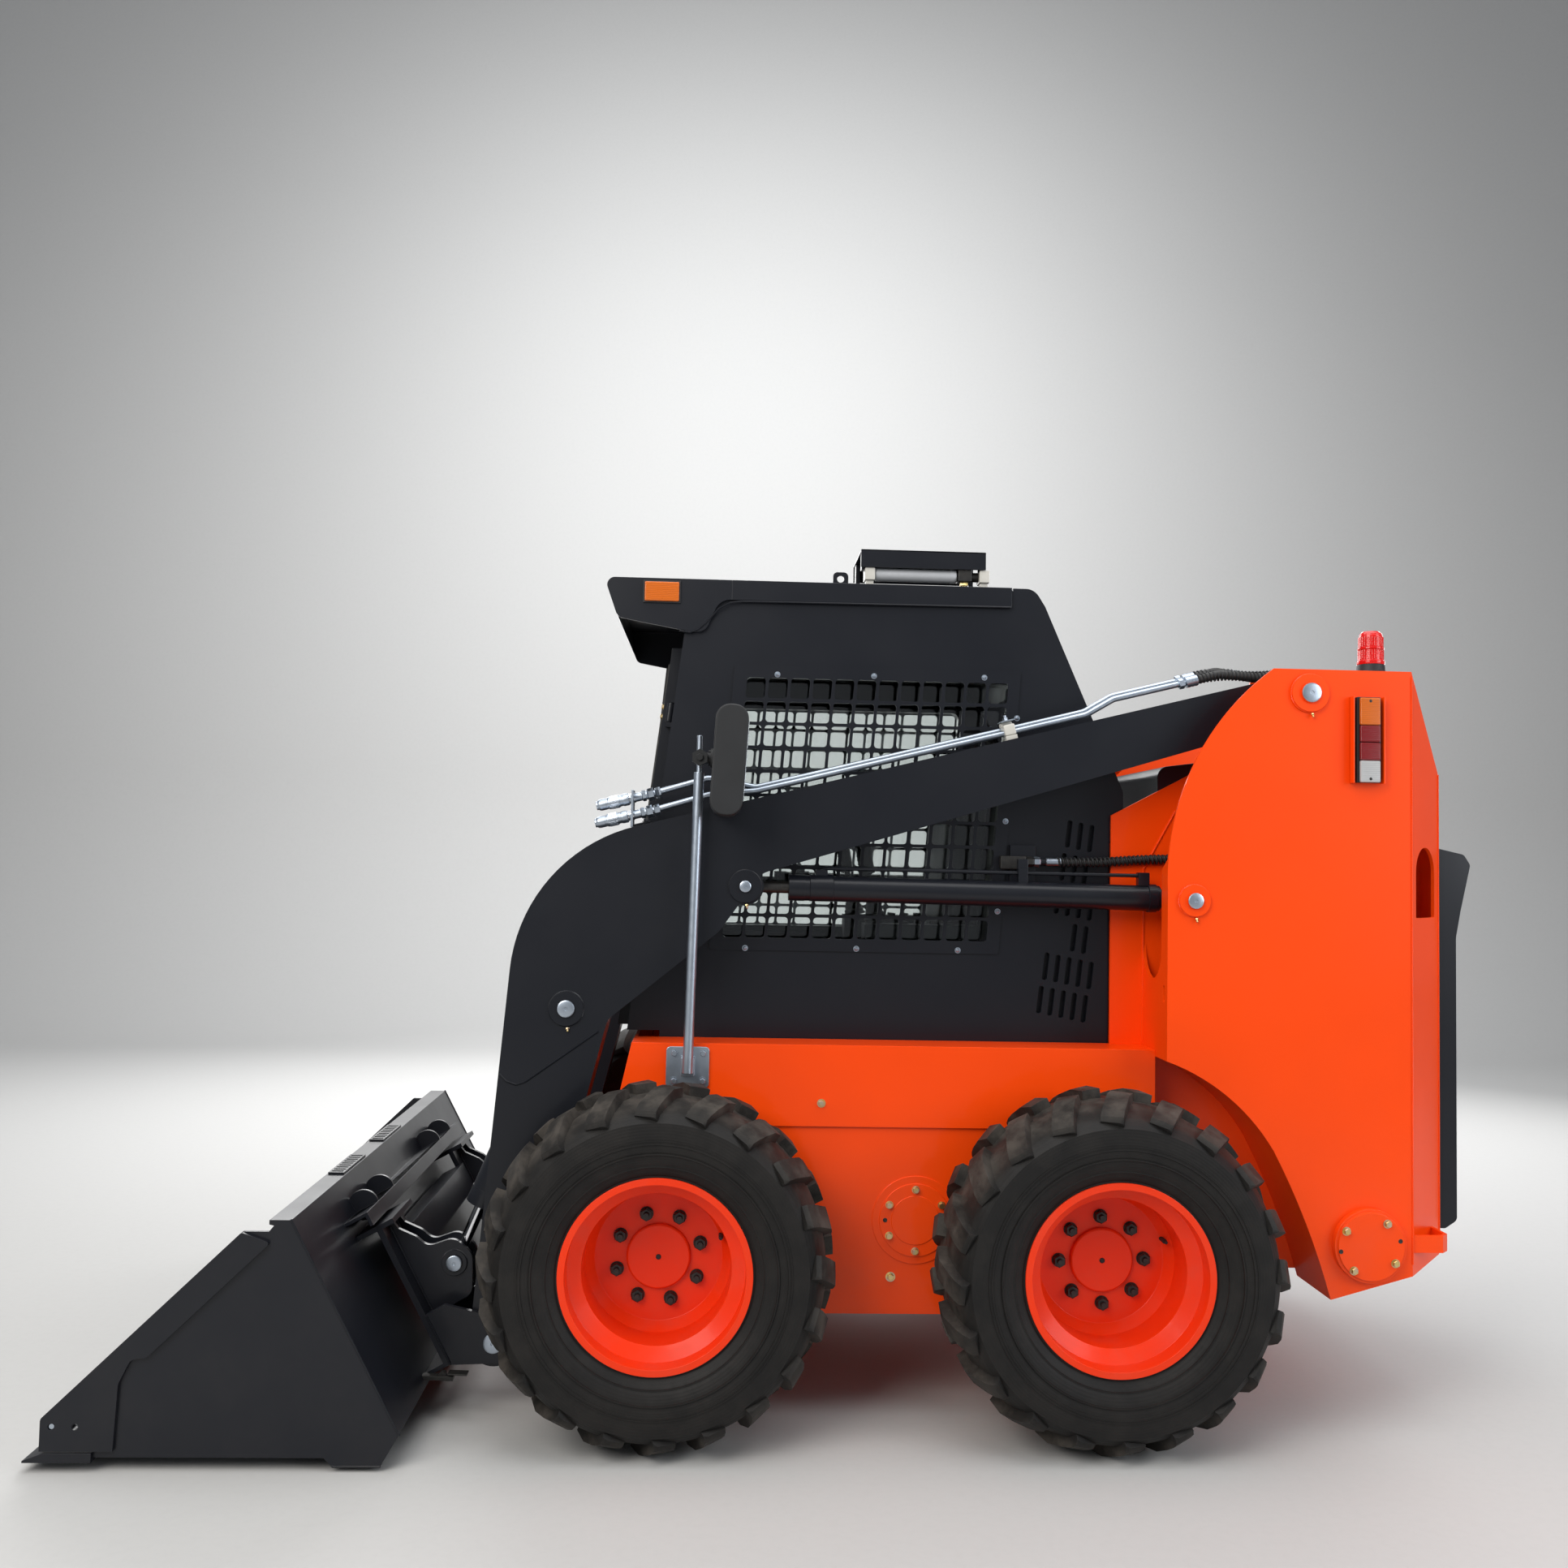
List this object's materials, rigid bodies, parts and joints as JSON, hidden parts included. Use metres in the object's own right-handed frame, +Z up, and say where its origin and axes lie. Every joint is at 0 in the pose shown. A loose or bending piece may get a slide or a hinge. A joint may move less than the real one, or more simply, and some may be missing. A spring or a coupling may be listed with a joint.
{
  "type": "skid steer loader",
  "caption": "Compact skid steer loader with radial lift arms, tilting bucket, guarded cab and opening doors.",
  "frame": {"origin": "on the ground, under the middle of the machine's length and width", "axes": "+X towards the rear, +Y towards the machine's right side, +Z up"},
  "size_m": [3.3781, 1.8, 2.16],
  "materials": {
    "orange_paint": "gloss",
    "black_paint": "semi-gloss",
    "rim_paint": "satin",
    "tyre_rubber": "matte",
    "zinc_steel": "satin",
    "chrome_rod": "polished",
    "cast_iron": "matte",
    "aluminium": "satin",
    "black_plastic": "matte",
    "seat_vinyl": "matte",
    "hose_rubber": "matte",
    "red_lens": "gloss",
    "glass": "clear"
  },
  "bodies": {
    "machine": {"main_frame": "orange_paint", "tower_left": "orange_paint", "tower_right": "orange_paint", "cab_frame": "black_paint", "side_guard_left": "black_paint", "side_guard_right": "black_paint", "cab_roof": "black_paint", "cab_visor": "black_paint", "lifting_eyes": "black_paint", "cab_glass": "glass", "seat_frame": "black_plastic", "seat_cushions": "seat_vinyl", "operator_controls": "black_plastic", "engine_block": "cast_iron", "engine_hood": "black_paint", "beacon": "red_lens", "inspection_covers": "orange_paint", "mirror_poles": "zinc_steel", "mirror_heads": "black_plastic", "lamps": "red_lens", "roof_unit": "aluminium", "frame_hoses": "hose_rubber", "hose_brackets": "black_paint"},
    "rear_engine_door": {"rear_door": "black_paint"},
    "cab_front_door": {"front_door": "black_paint", "door_glass": "glass"},
    "loader_arm": {"arm_left": "black_paint", "arm_right": "black_paint", "arm_cross_tube": "black_paint", "aux_pipes": "zinc_steel", "arm_hoses": "hose_rubber"},
    "bucket": {"hitch_frame": "black_paint", "bucket_shell": "black_paint", "bucket_edges": "black_paint"},
    "lift_cylinder_barrel_left": {"lift_barrel_left": "black_paint"},
    "lift_cylinder_rod_left": {"lift_rod_left": "chrome_rod"},
    "lift_cylinder_barrel_right": {"lift_barrel_right": "black_paint"},
    "lift_cylinder_rod_right": {"lift_rod_right": "chrome_rod"},
    "tilt_cylinder_barrel_left": {"tilt_barrel_left": "black_paint"},
    "tilt_cylinder_rod_left": {"tilt_rod_left": "chrome_rod"},
    "tilt_cylinder_barrel_right": {"tilt_barrel_right": "black_paint"},
    "tilt_cylinder_rod_right": {"tilt_rod_right": "chrome_rod"},
    "wheel_front_left": {"tyre_front_left": "tyre_rubber", "rim_front_left": "rim_paint"},
    "wheel_front_right": {"tyre_front_right": "tyre_rubber", "rim_front_right": "rim_paint"},
    "wheel_rear_left": {"tyre_rear_left": "tyre_rubber", "rim_rear_left": "rim_paint"},
    "wheel_rear_right": {"tyre_rear_right": "tyre_rubber", "rim_rear_right": "rim_paint"}
  },
  "joints": [
    {"name": "wheel_front_left_spin", "type": "hinge", "parent": "machine", "child": "wheel_front_left", "pos_m": [-0.3495, -0.7215, 0.408], "axis": [0, 1, 0], "continuous": true},
    {"name": "wheel_front_right_spin", "type": "hinge", "parent": "machine", "child": "wheel_front_right", "pos_m": [-0.3495, 0.7215, 0.408], "axis": [0, 1, 0], "continuous": true},
    {"name": "wheel_rear_left_spin", "type": "hinge", "parent": "machine", "child": "wheel_rear_left", "pos_m": [0.7005, -0.7215, 0.408], "axis": [0, 1, 0], "continuous": true},
    {"name": "wheel_rear_right_spin", "type": "hinge", "parent": "machine", "child": "wheel_rear_right", "pos_m": [0.7005, 0.7215, 0.408], "axis": [0, 1, 0], "continuous": true},
    {"name": "arm_lift", "type": "hinge", "parent": "machine", "child": "loader_arm", "pos_m": [1.2085, 0, 1.776], "axis": [0, 1, 0], "range_deg": [0, 67]},
    {"name": "bucket_tilt", "type": "hinge", "parent": "loader_arm", "child": "bucket", "pos_m": [-0.7445, 0, 0.17], "axis": [0, -1, 0], "range_deg": [-25, 102]},
    {"name": "front_door_hinge", "type": "hinge", "parent": "machine", "child": "cab_front_door", "pos_m": [-0.46242, -0.352, 0.90731], "axis": [0.1189, 0, 0.9929], "range_deg": [0, 80]},
    {"name": "rear_door_hinge", "type": "hinge", "parent": "machine", "child": "rear_engine_door", "pos_m": [1.605, 0.512, 0.9], "axis": [0, 0, 1], "range_deg": [0, 100]},
    {"name": "lift_barrel_pivot_left", "type": "hinge", "parent": "machine", "child": "lift_cylinder_barrel_left", "pos_m": [0.9255, -0.502, 1.263], "axis": [0, 1, 0], "range_deg": [-0.5, 65.54]},
    {"name": "lift_rod_slide_left", "type": "slide", "parent": "lift_cylinder_barrel_left", "child": "lift_cylinder_rod_left", "axis": [-0.9999, 0, 0.011], "range_m": [-0.005, 0.646]},
    {"name": "tilt_barrel_pivot_left", "type": "hinge", "parent": "loader_arm", "child": "tilt_cylinder_barrel_left", "pos_m": [-0.5935, -0.466, 0.969], "axis": [0, -1, 0], "range_deg": [-1.67, 5.27]},
    {"name": "tilt_rod_slide_left", "type": "slide", "parent": "tilt_cylinder_barrel_left", "child": "tilt_cylinder_rod_left", "axis": [-0.3821, 0, -0.9241], "range_m": [-0.0773, 0.3125]},
    {"name": "lift_barrel_pivot_right", "type": "hinge", "parent": "machine", "child": "lift_cylinder_barrel_right", "pos_m": [0.9255, 0.502, 1.263], "axis": [0, 1, 0], "range_deg": [-0.5, 65.54]},
    {"name": "lift_rod_slide_right", "type": "slide", "parent": "lift_cylinder_barrel_right", "child": "lift_cylinder_rod_right", "axis": [-0.9999, 0, 0.011], "range_m": [-0.005, 0.646]},
    {"name": "tilt_barrel_pivot_right", "type": "hinge", "parent": "loader_arm", "child": "tilt_cylinder_barrel_right", "pos_m": [-0.5935, 0.466, 0.969], "axis": [0, -1, 0], "range_deg": [-1.67, 5.27]},
    {"name": "tilt_rod_slide_right", "type": "slide", "parent": "tilt_cylinder_barrel_right", "child": "tilt_cylinder_rod_right", "axis": [-0.3821, 0, -0.9241], "range_m": [-0.0773, 0.3125]}
  ],
  "couplings": [
    {"joint": "lift_barrel_pivot_left", "follows": "arm_lift", "ratio": 0.9708},
    {"joint": "lift_rod_slide_left", "follows": "arm_lift", "m_per_rad": 0.55161},
    {"joint": "tilt_barrel_pivot_left", "follows": "bucket_tilt", "ratio": 0.04674},
    {"joint": "tilt_rod_slide_left", "follows": "bucket_tilt", "m_per_rad": 0.17498},
    {"joint": "lift_barrel_pivot_right", "follows": "arm_lift", "ratio": 0.9708},
    {"joint": "lift_rod_slide_right", "follows": "arm_lift", "m_per_rad": 0.55161},
    {"joint": "tilt_barrel_pivot_right", "follows": "bucket_tilt", "ratio": 0.04674},
    {"joint": "tilt_rod_slide_right", "follows": "bucket_tilt", "m_per_rad": 0.17498}
  ]
}
